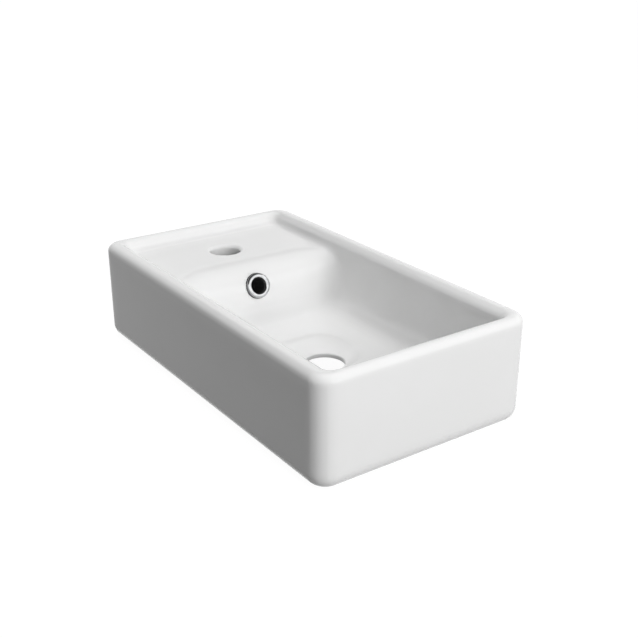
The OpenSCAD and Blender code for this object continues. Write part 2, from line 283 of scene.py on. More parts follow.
@dataclass(frozen=True)
class BasinSizes:
    """Sizes of the glazed body in millimetres, most of them as the part's source names them.

    Names ending in _run are the distances over which a shape changes.
    """

    body_l: float = 450.0
    body_w: float = 255.0
    body_h: float = 116.0
    corner_r: float = 21.0
    top_edge_r: float = 9.0
    bottom_edge_r: float = 15.0
    side_rim_t: float = 22.0
    end_rim_t: float = 13.5
    side_roll: float = 11.0
    end_roll: float = 4.0
    roll_h: float = 8.0
    rim_corner_r: float = 10.0
    shelf_z: float = 101.0
    shelf_fillet_r: float = 7.0
    shelf_fillet_run: float = 14.0
    shelf_end_x: float = -117.5
    shelf_roll_r: float = 38.0
    corner_tighten: float = 0.5
    corner_tighten_run: float = 45.0
    floor_z: float = 35.5
    floor_r: float = 25.0
    bowl_corner_r: float = 22.0
    corner_change_up: float = 2.0
    corner_change_down: float = 24.0
    foot_swell: float = 9.0
    skin_t: float = 10.0
    waste_x: float = 53.0
    waste_z: float = 32.0
    waste_flat_r: float = 24.5
    dish_left_x: float = -17.0
    dish_right_x: float = 83.0
    dish_end_r: float = 52.0
    dish_corner_r: float = 30.0
    dish_edge_w: float = 11.0
    dish_heel_w: float = 15.0
    dish_toe_w: float = 4.0
    dish_drop: float = 1.4
    floor_fall: float = 0.5
    floor_fall_run: float = 45.0
    skirt_t: float = 12.0
    foot_w: float = 24.0
    foot_h: float = 9.0
    gap_top: float = 42.0
    gap_r: float = 6.0
    room_corner_r: float = 12.0
    room_edge_r: float = 5.0
    room_foot_r: float = 2.0
    mouth_corner_r: float = 10.0
    mouth_rise: float = 4.0
    mouth_fillet_r: float = 2.5
    under_edge_r: float = 1.6
    tap_x: float = -155.0
    land_r: float = 31.0
    land_z: float = 79.0
    land_edge_r: float = 2.5
    land_fillet_r: float = 5.0
    seat_r: float = 15.7
    seat_half_t: float = 4.0
    seat_fillet_r: float = 1.2
    seat_x: float = -83.38
    seat_z: float = 76.785
    overflow_lean: float = 22.0


# Meshes


def link_mesh(name: str, mesh: bpy.types.Mesh) -> bpy.types.Object:
    """Link a new object for a mesh to the scene, at the origin.

    Args:
        name: The object's name.
        mesh: Its mesh.

    Returns:
        The object.
    """
    thing = bpy.data.objects.new(name, mesh)
    bpy.context.scene.collection.objects.link(thing)
    return thing


def plain_copy(thing: bpy.types.Object, name: str) -> bpy.types.Object:
    """Turn an object with modifiers into a plain mesh object and remove the first one.

    Args:
        thing: The object with its modifiers still live.
        name: The new object's name.

    Returns:
        The plain object.
    """
    graph = bpy.context.evaluated_depsgraph_get()
    mesh = bpy.data.meshes.new_from_object(thing.evaluated_get(graph), depsgraph=graph)
    thing.modifiers.clear()
    bpy.data.objects.remove(thing)
    mesh.name = name
    return link_mesh(name, mesh)


def weld(mesh: bpy.types.Mesh, distance: float) -> None:
    """Merge points that are close together, and drop the faces that this leaves without area.

    Args:
        mesh: The mesh.
        distance: How close the points are, in millimetres.
    """
    shape = bmesh.new()
    shape.from_mesh(mesh)
    bmesh.ops.remove_doubles(shape, verts=shape.verts, dist=distance * MM)
    bmesh.ops.dissolve_degenerate(shape, edges=shape.edges, dist=distance * MM)
    shape.to_mesh(mesh)
    shape.free()


def smooth_by_angle(mesh: bpy.types.Mesh, degrees: float) -> None:
    """Shade a mesh smooth and keep the edges sharper than an angle."""
    mesh.shade_smooth()
    mesh.set_sharp_from_angle(angle=math.radians(degrees))


def arc(centre: Station, radius: float, start: float, end: float, steps: int) -> list[Station]:
    """Return the points of an arc.

    Args:
        centre: The arc's centre.
        radius: Its radius.
        start: First angle in degrees.
        end: Last angle in degrees.
        steps: How many steps between them.

    Returns:
        The points, from the first angle to the last.
    """
    turns = [math.radians(start + (end - start) * k / steps) for k in range(steps + 1)]
    return [(centre[0] + radius * math.cos(t), centre[1] + radius * math.sin(t)) for t in turns]


def rows(radius: float, start: float, end: float, step: float) -> list[Station]:
    """Return evenly spaced stations of one radius, so that a rule has points to move.

    Args:
        radius: The radius.
        start: Height of the first station.
        end: Height of the last one.
        step: The most that lies between two stations.

    Returns:
        The stations, from the first to the last.
    """
    count = max(1, math.ceil(abs(end - start) / step))
    return [(radius, start + (end - start) * k / count) for k in range(count + 1)]


def turned(name: str, profile: Sequence[Station], place: Matrix, flats: int) -> bpy.types.Mesh:
    """Turn a closed outline round an axis.

    Args:
        name: The mesh's name.
        profile: Points (radius, height) in millimetres; a radius of 0 closes on the axis.
        place: Where the axis goes, in millimetres, with its Z along the axis.
        flats: How many flats there are round the axis.

    Returns:
        The closed mesh in metres.
    """
    shape = bmesh.new()
    rings: list[list[bmesh.types.BMVert]] = []
    for radius, height in profile:
        turns = [FULL_TURN * k / flats for k in range(flats if radius > 0 else 1)]
        points = [Vector((radius * math.cos(t), radius * math.sin(t), height)) for t in turns]
        rings.append([shape.verts.new(MM * (place @ point)) for point in points])
    pairs = list(zip(rings, rings[1:]))
    if len(rings[0]) > 1:
        pairs.append((rings[-1], rings[0]))
    for low, high in pairs:
        for k in range(flats):
            n = (k + 1) % flats
            corners = [low[k % len(low)], low[n % len(low)], high[n % len(high)], high[k % len(high)]]
            corners = list(dict.fromkeys(corners))
            if len(corners) > 2:
                shape.faces.new(corners)
    bmesh.ops.recalc_face_normals(shape, faces=shape.faces)
    mesh = bpy.data.meshes.new(name)
    shape.to_mesh(mesh)
    shape.free()
    return mesh


def joined(name: str, meshes: Sequence[bpy.types.Mesh]) -> bpy.types.Mesh:
    """Gather meshes into one.

    Args:
        name: The new mesh's name.
        meshes: The meshes.

    Returns:
        One mesh that holds all of these.
    """
    shape = bmesh.new()
    for mesh in meshes:
        shape.from_mesh(mesh)
    whole = bpy.data.meshes.new(name)
    shape.to_mesh(whole)
    shape.free()
    return whole


def overflow_place(sizes: BasinSizes) -> Matrix:
    """Return the overflow axis: origin on the front seat, Z pointing into the bowl, in millimetres."""
    turn = Matrix.Rotation(math.radians(90 - sizes.overflow_lean), 4, "Y")
    return Matrix.Translation((sizes.seat_x, 0, sizes.seat_z)) @ turn


# Node trees


class GeometryTree:
    """A Geometry Nodes tree with named inputs."""

    def __init__(self, name: str, takes_mesh: bool, gives: str = "Geometry") -> None:
        """Start a tree.

        Args:
            name: The tree's name.
            takes_mesh: Whether it has a geometry input.
            gives: Name of its output, "Geometry" or that of a number.
        """
        self.tree = bpy.data.node_groups.new(name, "GeometryNodeTree")
        kind = "NodeSocketGeometry" if gives == "Geometry" else "NodeSocketFloat"
        self.tree.interface.new_socket(gives, in_out="OUTPUT", socket_type=kind)
        if takes_mesh:
            self.tree.interface.new_socket("Geometry", in_out="INPUT", socket_type="NodeSocketGeometry")
        self.source = self.tree.nodes.new("NodeGroupInput")
        self.sink = self.tree.nodes.new("NodeGroupOutput")

    def number(self, name: str, value: float = 1.0) -> Field:
        """Add a named number input.

        Args:
            name: The input's name.
            value: Its default.

        Returns:
            The input as a field.
        """
        socket = self.tree.interface.new_socket(name, in_out="INPUT", socket_type="NodeSocketFloat")
        socket.default_value = value
        return Field(self.tree, self.source.outputs[name])

    def numbers(self, *names: str) -> list[Field]:
        """Add several number inputs, whose values are set when the tree is run."""
        return [self.number(name) for name in names]

    def node(self, kind: str, **inputs: object) -> bpy.types.Node:
        """Add a node and feed its inputs, whose names are written with _ for a space.

        Args:
            kind: The node's type.
            **inputs: Values, fields or sockets by input name.

        Returns:
            The node.
        """
        made = self.tree.nodes.new(kind)
        for key, value in inputs.items():
            feed(self.tree, made.inputs[key.replace("_", " ")], value)
        return made

    def here(self) -> bpy.types.NodeSocket:
        """Return each point's own place in metres."""
        return self.tree.nodes.new("GeometryNodeInputPosition").outputs[0]

    def moved(self, geometry: bpy.types.NodeSocket, way: str, **parts: Field) -> bpy.types.NodeSocket:
        """Move each point of a mesh.

        Args:
            geometry: The mesh.
            way: "Offset" moves points by the parts, and "Position" moves them there.
            **parts: X, Y and Z in metres, where one left out is 0.

        Returns:
            The mesh with its points moved.
        """
        place = self.node("ShaderNodeCombineXYZ", **parts).outputs[0]
        return self.node("GeometryNodeSetPosition", Geometry=geometry, **{way: place}).outputs[0]

    def finish(self, geometry: bpy.types.NodeSocket, material: bpy.types.Material) -> bpy.types.NodeTree:
        """End the tree in Realize Instances and Set Material.

        Args:
            geometry: The finished geometry.
            material: The material that it gets.

        Returns:
            The tree.
        """
        real = self.node("GeometryNodeRealizeInstances", Geometry=geometry)
        dressed = self.node("GeometryNodeSetMaterial", Geometry=real.outputs[0])
        dressed.inputs["Material"].default_value = material
        self.tree.links.new(dressed.outputs[0], self.sink.inputs[0])
        return self.tree


def run_tree(
    thing: bpy.types.Object, tree: bpy.types.NodeTree, values: dict[str, float]
) -> bpy.types.Object:
    """Put a tree on an object, set its inputs and turn the result into a plain mesh.

    Args:
        thing: The object that gets the modifier.
        tree: The Geometry Nodes tree.
        values: Input values by name.

    Returns:
        The plain object, under the same name.
    """
    modifier = thing.modifiers.new("rule", "NODES")
    modifier.node_group = tree
    ids = {s.name: s.identifier for s in tree.interface.items_tree if getattr(s, "in_out", "") == "INPUT"}
    for name, value in values.items():
        modifier[ids[name]] = value
    return plain_copy(thing, thing.name)


# Glazed body


class BodyRule:
    """The glazed body as a distance in millimetres: negative in the ceramic, positive outside."""

    def __init__(self, sizes: BasinSizes) -> None:
        """Build the rule as a node group whose inputs are the sizes.

        Args:
            sizes: The body's sizes.
        """
        self.sizes = sizes
        self.group = GeometryTree("Basin distance", takes_mesh=False, gives="Distance")
        tree = self.group.tree
        tree.interface.new_socket("Place", in_out="INPUT", socket_type="NodeSocketVector")
        self.x, self.y, self.z = in_millimetres(tree, self.group.source.outputs["Place"])
        self.size = {}
        for size in fields(sizes):
            self.size[size.name] = self.group.number(size.name.replace("_", " "), getattr(sizes, size.name))
        tree.links.new(self._solid().socket, self.group.sink.inputs[0])

    def _dish_outline(self, inset: float) -> Field:
        """Work out the dish's outline: a half circle past the waste and two corners at its shelf end.

        Args:
            inset: 0 for the top of the dish's sloping edge, 1 for its foot.

        Returns:
            The distance, negative inside.
        """
        s = self.size
        end_r = s["dish_end_r"] - s["dish_edge_w"] * inset
        corner_r = s["dish_corner_r"] - s["dish_edge_w"] * (inset / 2)
        side = self.y.size() - end_r
        right = rounded_meet(side, self.x - (s["dish_right_x"] - s["dish_toe_w"] * inset), end_r)
        left = rounded_meet(side, s["dish_left_x"] + s["dish_heel_w"] * inset - self.x, corner_r)
        return right.at_least(left)

    def _floor_height(self) -> Field:
        """Work out the bowl floor: its fall, the dish and the fall to the waste hole.

        Returns:
            The floor's height.
        """
        s = self.size
        top, foot = self._dish_outline(0.0), self._dish_outline(1.0)
        band = share_of(foot.at_least(0.0), (-top).at_least(0.0)).eased(0.0, 1.0)
        foot_z = s["floor_z"] - s["floor_fall"] - s["dish_drop"]
        to_hole = (length(self.x - s["waste_x"], self.y) - s["waste_flat_r"]).at_least(0.0)
        share = share_of(to_hole, (-foot).at_least(0.0), spare=0.001)
        funnel = s["waste_z"] + (foot_z - s["waste_z"]) * share
        return funnel + s["dish_drop"] * band + s["floor_fall"] * top.eased(0.0, s["floor_fall_run"])

    def _bowl(self) -> tuple[Field, Field]:
        """Work out the space inside the rim and above the shelf and floor.

        The bowl's corners grow from the rim down and swell at the floor. The shelf's roll follows the
        bowl's outline, so it turns into the corners, and it is tighter there.

        Returns:
            The distance to the space, and the width of its rim roll.
        """
        s = self.size
        half_x = s["body_l"] * 0.5 - s["end_rim_t"]
        half_y = s["body_w"] * 0.5 - s["side_rim_t"]
        deep = self.z.eased(s["shelf_z"] + s["corner_change_up"], s["shelf_z"] - s["corner_change_down"])
        low = ((s["floor_z"] + s["floor_r"] - self.z) / s["floor_r"]).at_least(0.0).at_most(1.0)
        swell = low * low * low * s["foot_swell"]
        corner = s["rim_corner_r"] + (s["bowl_corner_r"] - s["rim_corner_r"]) * deep + swell
        walls = outline(self.x, self.y, half_x, half_y, corner)
        on_end = (self.x.size() - (half_x - corner)).at_least(0.0)
        on_side = (self.y.size() - (half_y - corner)).at_least(0.0)
        endness = share_of(on_end * on_end, on_side * on_side)
        roll = s["side_roll"] + (s["end_roll"] - s["side_roll"]) * endness
        side = self.y.size() - half_y
        shelf_end = s["shelf_end_x"] + s["shelf_roll_r"] - self.x
        plan = rounded_meet(side, shelf_end, s["bowl_corner_r"] + swell)
        plan = plan.at_least(rounded_meet(side, self.x - half_x, corner))
        tight = self.y.size().eased(half_y - s["corner_tighten_run"], half_y) * s["corner_tighten"]
        shelf = rounded_meet(-plan, self.z - s["shelf_z"], s["shelf_roll_r"] * (1.0 - tight))
        ground = filled_join(shelf, self.z - self._floor_height(), s["floor_r"])
        fillet = s["shelf_fillet_r"] * plan.eased(0.0, s["shelf_fillet_run"])
        return rounded_meet(walls, -ground, fillet), roll

    def _under(self) -> Field:
        """Work out the space under the shelf and floor, open inside the foot.

        Returns:
            The distance to the space.
        """
        s = self.size
        half_x, half_y = s["body_l"] * 0.5, s["body_w"] * 0.5
        roll_x = s["shelf_end_x"] + s["shelf_roll_r"]
        shelf = rounded_meet(self.x - roll_x, self.z - s["shelf_z"], s["shelf_roll_r"])
        top = filled_join(shelf, self.z - s["floor_z"], s["floor_r"]) + s["skin_t"]
        beside = (self.y.size() - (half_y - s["side_rim_t"] - s["floor_r"])).at_least(0.0)
        below = (s["floor_z"] + s["floor_r"] - self.z).at_least(0.0)
        gap = (self.z - s["gap_top"]).at_least(s["floor_r"] + s["skin_t"] - length(beside, below))
        reach = filled_join(top, gap, s["gap_r"])
        inside = outline(self.x, self.y, half_x - s["skirt_t"], half_y - s["skirt_t"], s["room_corner_r"])
        room = rounded_meet(inside, reach, s["room_edge_r"])
        room = rounded_meet(room, s["foot_h"] - self.z, s["room_foot_r"])
        mouth = outline(self.x, self.y, half_x - s["foot_w"], half_y - s["foot_w"], s["mouth_corner_r"])
        mouth = mouth.at_least(self.z - (s["foot_h"] + s["mouth_rise"]))
        space = filled_join(room, mouth, s["mouth_fillet_r"])
        land = length(self.x - s["tap_x"], self.y) - s["land_r"]
        land = rounded_meet(land, s["land_z"] - self.z, s["land_edge_r"])
        return rounded_meet(space, -land, s["land_fillet_r"])

    def _seat_boss(self) -> Field:
        """Work out the round boss that carries the overflow's flat seat.

        Returns:
            The distance to the boss.
        """
        s = self.size
        lean = math.radians(self.sizes.overflow_lean)
        dx = self.x - s["seat_x"]
        dz = self.z - s["seat_z"]
        along = dx * math.cos(lean) + dz * math.sin(lean)
        across = length(dz * math.cos(lean) - dx * math.sin(lean), self.y)
        return (across - s["seat_r"]).at_least(along.size() - s["seat_half_t"])

    def _solid(self) -> Field:
        """Put the block, the bowl, the space below and the boss together.

        Returns:
            The distance to the whole body.
        """
        s = self.size
        sides = outline(self.x, self.y, s["body_l"] * 0.5, s["body_w"] * 0.5, s["corner_r"])
        block = rounded_meet(sides, self.z - s["body_h"], s["top_edge_r"])
        block = rounded_meet(block, -self.z, s["bottom_edge_r"])
        space, roll = self._bowl()
        rim = rolled_meet(-space, self.z - s["body_h"], roll, s["roll_h"])
        solid = rounded_meet(block.at_least(rim), -self._under(), s["under_edge_r"])
        return filled_join(solid, self._seat_boss(), s["seat_fillet_r"])


@dataclass(frozen=True)
class UprightHole:
    """Sizes of a hole through the shelf or the floor, in millimetres: rounded above and bevelled below."""

    radius: float
    edge_r: float
    edge_steps: int
    bevel: float
    dent: float
    above: float
    below: float
    flats: int = 160

    def cutter(self, name: str, x: float, top_z: float, under_z: float) -> bpy.types.Mesh:
        """Make the closed shape that cuts the hole.

        Args:
            name: The shape's name.
            x: Where the hole's axis is.
            top_z: Height of the glazed face.
            under_z: Height of the face below it.

        Returns:
            The shape.
        """
        wide, lip = self.radius + self.bevel, self.radius + self.edge_r
        profile = [(0, under_z - self.below), (wide, under_z - self.below), (wide, under_z)]
        profile += [(self.radius + self.dent, under_z + self.dent), (self.radius, under_z + self.bevel)]
        profile += arc((lip, top_z - self.edge_r), self.edge_r, 180, 91, self.edge_steps)
        profile += [(lip, top_z + self.above), (0, top_z + self.above)]
        return turned(name, profile, Matrix.Translation((x, 0, 0)), self.flats)


@dataclass(frozen=True)
class HoleSizes:
    """Sizes of the holes that are cut after the body's mesh is made, in millimetres.

    Names ending in _u are stations along the overflow axis, counted from the front seat.
    """

    tap: UprightHole = UprightHole(
        radius=17.5, edge_r=4.5, edge_steps=14, bevel=1.2, dent=0.35, above=6.0, below=12.0
    )
    waste: UprightHole = UprightHole(
        radius=22.0, edge_r=1.5, edge_steps=8, bevel=1.0, dent=0.3, above=4.0, below=8.0
    )
    bolt_r: float = 6.0
    bolt_bevel: float = 0.9
    bolt_depth: float = 18.0
    bolt_out: float = 4.0
    bolt_half_spacing: float = 120.0
    bolt_z: float = 30.0
    bolt_flats: int = 72
    overflow_r: float = 12.0
    overflow_flats: int = 128
    seat_gap: float = 0.05
    seat_front_u: float = 9.0
    rear_seat_u: float = -9.0
    pocket_end_u: float = -26.0
    pocket_r: float = 17.0


@dataclass
class GlazedBody:
    """The one-piece glazed casting.

    The voxel, the band on each side of the skin and the margin round the box, in millimetres, set the
    first mesh. Each polish step then probes the rule's slope round a point and moves the point on to
    the surface, by no more than the longest move.
    """

    sizes: BasinSizes = BasinSizes()
    holes: HoleSizes = HoleSizes()
    voxel: float = 2.1
    band: float = 6.0
    margin: float = 8.0
    skin_level: float = 0.5
    polish_steps: int = 4
    probe: float = 0.05
    least_steep: float = 0.1
    longest_move: float = 1.5
    merge_flats: float = 0.02
    weld: float = 0.03
    sharp_angle: float = 38.0

    def _tree(self, material: bpy.types.Material) -> bpy.types.NodeTree:
        """Build the tree that meshes the rule and draws the mesh on to its surface.

        Args:
            material: The glaze.

        Returns:
            The tree.
        """
        rule = BodyRule(self.sizes).group.tree
        grow = GeometryTree("Basin body", takes_mesh=True)
        band, flats = grow.numbers("Band", "Merge flats")

        def distance(place: bpy.types.NodeSocket) -> Field:
            """Find the body's distance at a place.

            Args:
                place: The place in metres.

            Returns:
                The distance in millimetres.
            """
            node = grow.tree.nodes.new("GeometryNodeGroup")
            node.node_tree = rule
            grow.tree.links.new(place, node.inputs["Place"])
            return Field(grow.tree, node.outputs[0])

        density = self.skin_level - distance(grow.here()) / (band * 2.0)
        density = density.at_least(0.0).at_most(1.0)
        cube = grow.node("GeometryNodeVolumeCube", Density=density, Background=0.0)
        half_l, half_w = self.sizes.body_l / 2, self.sizes.body_w / 2
        ends = ((-half_l, half_l), (-half_w, half_w), (0.0, self.sizes.body_h))
        for k, (low, high) in enumerate(ends):
            span = high - low + 2 * self.margin
            cube.inputs["Min"].default_value[k] = (low - self.margin) * MM
            cube.inputs["Max"].default_value[k] = (high + self.margin) * MM
            cube.inputs[f"Resolution {'XYZ'[k]}"].default_value = round(span / self.voxel)
        skin = grow.node("GeometryNodeVolumeToMesh", Volume=cube.outputs[0], Threshold=self.skin_level)
        feed(grow.tree, skin.inputs["Adaptivity"], flats)
        geometry = skin.outputs[0]
        for _ in range(self.polish_steps):
            geometry = self._polish(grow, geometry, distance)
        return grow.finish(geometry, material)

    def _polish(
        self,
        grow: GeometryTree,
        geometry: bpy.types.NodeSocket,
        distance: Callable[[bpy.types.NodeSocket], Field],
    ) -> bpy.types.NodeSocket:
        """Move each point along the rule's slope on to its surface.

        Args:
            grow: The tree that is being built.
            geometry: The mesh so far.
            distance: Gives the rule's distance at a place.

        Returns:
            The mesh with its points moved.
        """
        here = grow.here()
        slope = []
        for axis in range(3):
            ends = []
            for step in (self.probe * MM, -self.probe * MM):
                shift = [step if k == axis else 0.0 for k in range(3)]
                ends.append(distance(add_node(grow.tree, "ShaderNodeVectorMath", here, shift).outputs[0]))
            slope.append((ends[0] - ends[1]) / (2 * self.probe))
        steep = (slope[0] * slope[0] + slope[1] * slope[1] + slope[2] * slope[2]).at_least(self.least_steep)
        longest = self.longest_move * MM
        back = (distance(here) * -MM / steep).at_least(-longest).at_most(longest)
        return grow.moved(geometry, "Offset", X=slope[0] * back, Y=slope[1] * back, Z=slope[2] * back)

    def _cutters(self) -> bpy.types.Mesh:
        """Make the closed shapes of every hole.

        Returns:
            One mesh that holds them.
        """
        s, h = self.sizes, self.holes
        seat_r = s.seat_r + h.seat_gap
        over = [(0, h.seat_front_u), (seat_r, h.seat_front_u), (seat_r, 0), (h.overflow_r, 0)]
        over += [(h.overflow_r, h.rear_seat_u), (h.pocket_r, h.rear_seat_u)]
        over += [(h.pocket_r, h.pocket_end_u), (0, h.pocket_end_u)]
        wide = h.bolt_r + h.bolt_bevel
        bolt = [(0, -h.bolt_out), (wide, -h.bolt_out), (wide, 0), (h.bolt_r, h.bolt_bevel)]
        bolt += [(h.bolt_r, h.bolt_depth), (0, h.bolt_depth)]
        shapes = [
            h.tap.cutter("tap hole", s.tap_x, s.shelf_z, s.land_z),
            h.waste.cutter("waste hole", s.waste_x, s.waste_z, s.floor_z - s.skin_t),
            turned("overflow hole", over, overflow_place(s), h.overflow_flats),
        ]
        for x in (-h.bolt_half_spacing, h.bolt_half_spacing):
            place = Matrix.Translation((x, s.body_w / 2, h.bolt_z))
            into_wall = Matrix.Rotation(math.radians(90), 4, "X")
            shapes.append(turned("bolt hole", bolt, place @ into_wall, h.bolt_flats))
        return joined("basin holes", shapes)

    def build(self, material: bpy.types.Material) -> bpy.types.Object:
        """Make the body, cut its holes and dress it.

        Args:
            material: The glaze.

        Returns:
            The finished piece.
        """
        seed = link_mesh("glazed_body", bpy.data.meshes.new("glazed_body"))
        body = run_tree(seed, self._tree(material), {"Band": self.band, "Merge flats": self.merge_flats})
        LOG.info("body before its holes: %d faces", len(body.data.polygons))
        cutter = link_mesh("basin_holes", self._cutters())
        cut = body.modifiers.new("holes", "BOOLEAN")
        cut.operation = "DIFFERENCE"
        cut.solver = "EXACT"
        cut.object = cutter
        body = plain_copy(body, "glazed_body")
        bpy.data.objects.remove(cutter)
        body.data.materials.clear()
        body.data.materials.append(material)
        weld(body.data, self.weld)
        smooth_by_angle(body.data, self.sharp_angle)
        return body


# Finishes


class Surface:
    """A material on the Principled shader, with patterns in object space.

    The Mix node gives its number, vector and colour sockets the same names, so its colour sockets are
    taken by their places.
    """

    MIX_COLOURS = (6, 7)
    MIXED_COLOUR = 2

    def __init__(self, name: str) -> None:
        """Start a material.

        Args:
            name: Its name.
        """
        self.material = bpy.data.materials.new(name)
        self.material.use_nodes = True
        self.tree = self.material.node_tree
        self.shader = self.tree.nodes["Principled BSDF"]
        self.object_space = self.tree.nodes.new("ShaderNodeTexCoord").outputs["Object"]

    def set(self, **values: object) -> None:
        """Set the shader's own sockets, whose names are written with _ for a space."""
        for key, value in values.items():
            feed(self.tree, self.shader.inputs[key.replace("_", " ")], value)

    def places(self) -> tuple[Field, Field, Field]:
        """Return the place on the piece in millimetres."""
        return in_millimetres(self.tree, self.object_space)

    def noise(self, grain_mm: float, detail: float = 2.0, stretch: Colour = (1.0, 1.0, 1.0)) -> Field:
        """Return a noise from 0 to 1.

        Args:
            grain_mm: Rough size of its grain in millimetres.
            detail: How many finer layers it has.
            stretch: How much finer it is along each axis.

        Returns:
            The noise.
        """
        mapping = self.tree.nodes.new("ShaderNodeMapping")
        mapping.inputs["Scale"].default_value = stretch
        self.tree.links.new(self.object_space, mapping.inputs["Vector"])
        node = self.tree.nodes.new("ShaderNodeTexNoise")
        self.tree.links.new(mapping.outputs[0], node.inputs["Vector"])
        node.inputs["Scale"].default_value = 1 / (grain_mm * MM)
        node.inputs["Detail"].default_value = detail
        return Field(self.tree, node.outputs[0])

    def specks(self, spacing_mm: float, size_mm: float) -> Field:
        """Return small round specks: 1 on a speck, 0 elsewhere.

        Args:
            spacing_mm: Rough distance between specks.
            size_mm: Their radius.

        Returns:
            The specks.
        """
        node = self.tree.nodes.new("ShaderNodeTexVoronoi")
        self.tree.links.new(self.object_space, node.inputs["Vector"])
        node.inputs["Scale"].default_value = 1 / (spacing_mm * MM)
        edge = size_mm / spacing_mm
        return Field(self.tree, node.outputs["Distance"]).eased(edge, edge * 0.5)

    def blend(self, share: Field, first: Paint, second: Paint) -> bpy.types.NodeSocket:
        """Mix two colours.

        Args:
            share: 0 gives the first colour, 1 the second.
            first: A colour or a colour socket.
            second: The other colour or colour socket.

        Returns:
            The mixed colour.
        """
        node = self.tree.nodes.new("ShaderNodeMix")
        node.data_type = "RGBA"
        feed(self.tree, node.inputs["Factor"], share)
        for place, paint in zip(self.MIX_COLOURS, (first, second)):
            feed(self.tree, node.inputs[place], (*paint, 1.0) if isinstance(paint, tuple) else paint)
        return node.outputs[self.MIXED_COLOUR]

    def bump(self, height: Field, depth_mm: float, strength: float) -> None:
        """Roughen the surface.

        Args:
            height: A height from 0 to 1.
            depth_mm: What a height of 1 stands for, in millimetres.
            strength: Share of the effect.
        """
        node = self.tree.nodes.new("ShaderNodeBump")
        node.inputs["Strength"].default_value = strength
        node.inputs["Distance"].default_value = depth_mm * MM
        feed(self.tree, node.inputs["Height"], height)
        self.tree.links.new(node.outputs[0], self.shader.inputs["Normal"])


@dataclass(frozen=True)
class Glaze:
    """White sanitary glaze over fired clay, left bare under the basin and on the foot."""

    white: Colour = (0.920, 0.921, 0.920)
    thin: Colour = (0.908, 0.909, 0.906)
    clay: Colour = (0.690, 0.670, 0.625)
    dusty: Colour = (0.560, 0.540, 0.500)
    speck: Colour = (0.620, 0.600, 0.560)
    speck_share: float = 0.35
    glaze_rough: float = 0.045
    glaze_rough_spread: float = 0.02
    clay_rough: float = 0.62
    hole_margin: float = 0.4
    gap_margin: float = 2.0
    foot_line: tuple[float, float] = (1.6, 0.9)
    foot_wander: float = 0.75

    def _bare(self, surface: Surface, sizes: BasinSizes, holes: HoleSizes) -> Field:
        """Return 1 on the bare clay of the hollow and the foot, and 0 on the glaze.

        Args:
            surface: The material.
            sizes: The body's sizes.
            holes: The sizes of its holes.

        Returns:
            The share of bare clay.
        """
        x, y, z = surface.places()
        mid = sizes.skin_t / 2
        along = (x - sizes.shelf_end_x).at_least(0.0)
        above = (z - (sizes.shelf_z - sizes.shelf_roll_r)).at_least(0.0)
        under_shelf = length(along, above).math("LESS_THAN", sizes.shelf_roll_r - mid)
        start_x = sizes.shelf_end_x + sizes.shelf_roll_r + sizes.floor_r
        edge_y = sizes.body_w / 2 - sizes.side_rim_t - sizes.floor_r
        curve = sizes.floor_z + sizes.floor_r
        beyond = length((x - start_x).at_most(0.0), (y.size() - edge_y).at_least(0.0), z - curve)
        under_floor = beyond.math("GREATER_THAN", sizes.floor_r + mid)
        under_floor = under_floor * z.math("LESS_THAN", sizes.gap_top + self.gap_margin)
        skirt = sizes.skirt_t / 2
        half_x, half_y = sizes.body_l / 2 - skirt, sizes.body_w / 2 - skirt
        inside = outline(x, y, half_x, half_y, sizes.corner_r - skirt).math("LESS_THAN", 0.0)
        off_tap = length(x - sizes.tap_x, y).math("GREATER_THAN", holes.tap.radius + self.hole_margin)
        off_waste = length(x - sizes.waste_x, y).math("GREATER_THAN", holes.waste.radius + self.hole_margin)
        hollow = under_shelf.at_least(under_floor) * inside * off_tap * off_waste
        ragged = surface.noise(grain_mm=9.0, detail=4.0) - 0.5
        foot = (z + ragged * self.foot_wander).eased(*self.foot_line)
        return hollow.at_least(foot).at_most(1.0)

    def material(self, sizes: BasinSizes, holes: HoleSizes) -> bpy.types.Material:
        """Build the material.

        Args:
            sizes: The body's sizes, which say where the glaze ends.
            holes: The sizes of its holes, whose walls are glazed.

        Returns:
            The material.
        """
        surface = Surface("glaze")
        bare = self._bare(surface, sizes, holes)
        cloud = surface.noise(grain_mm=70.0, detail=2.0)
        colour = surface.blend(cloud.eased(0.35, 0.65), self.white, self.thin)
        specks = surface.specks(spacing_mm=11.0, size_mm=0.16)
        colour = surface.blend(specks * self.speck_share, colour, self.speck)
        dust = surface.noise(grain_mm=14.0, detail=5.0)
        clay = surface.blend(dust.eased(0.4, 0.7), self.clay, self.dusty)
        surface.set(Base_Color=surface.blend(bare, colour, clay), IOR=1.5, Specular_IOR_Level=0.5)
        smear = surface.noise(grain_mm=25.0, detail=3.0)
        surface.set(Roughness=self.glaze_rough + smear * self.glaze_rough_spread + bare * self.clay_rough)
        wave = surface.noise(grain_mm=38.0, detail=1.0) * 0.55
        wave = wave + surface.noise(grain_mm=6.0, detail=1.0) * 0.05
        grain = surface.noise(grain_mm=0.9, detail=4.0) * 0.22
        grain = grain + surface.noise(grain_mm=3.5, detail=3.0) * 0.5
        surface.bump(wave * (1.0 - bare) + grain * bare, depth_mm=0.35, strength=0.6)
        return surface.material


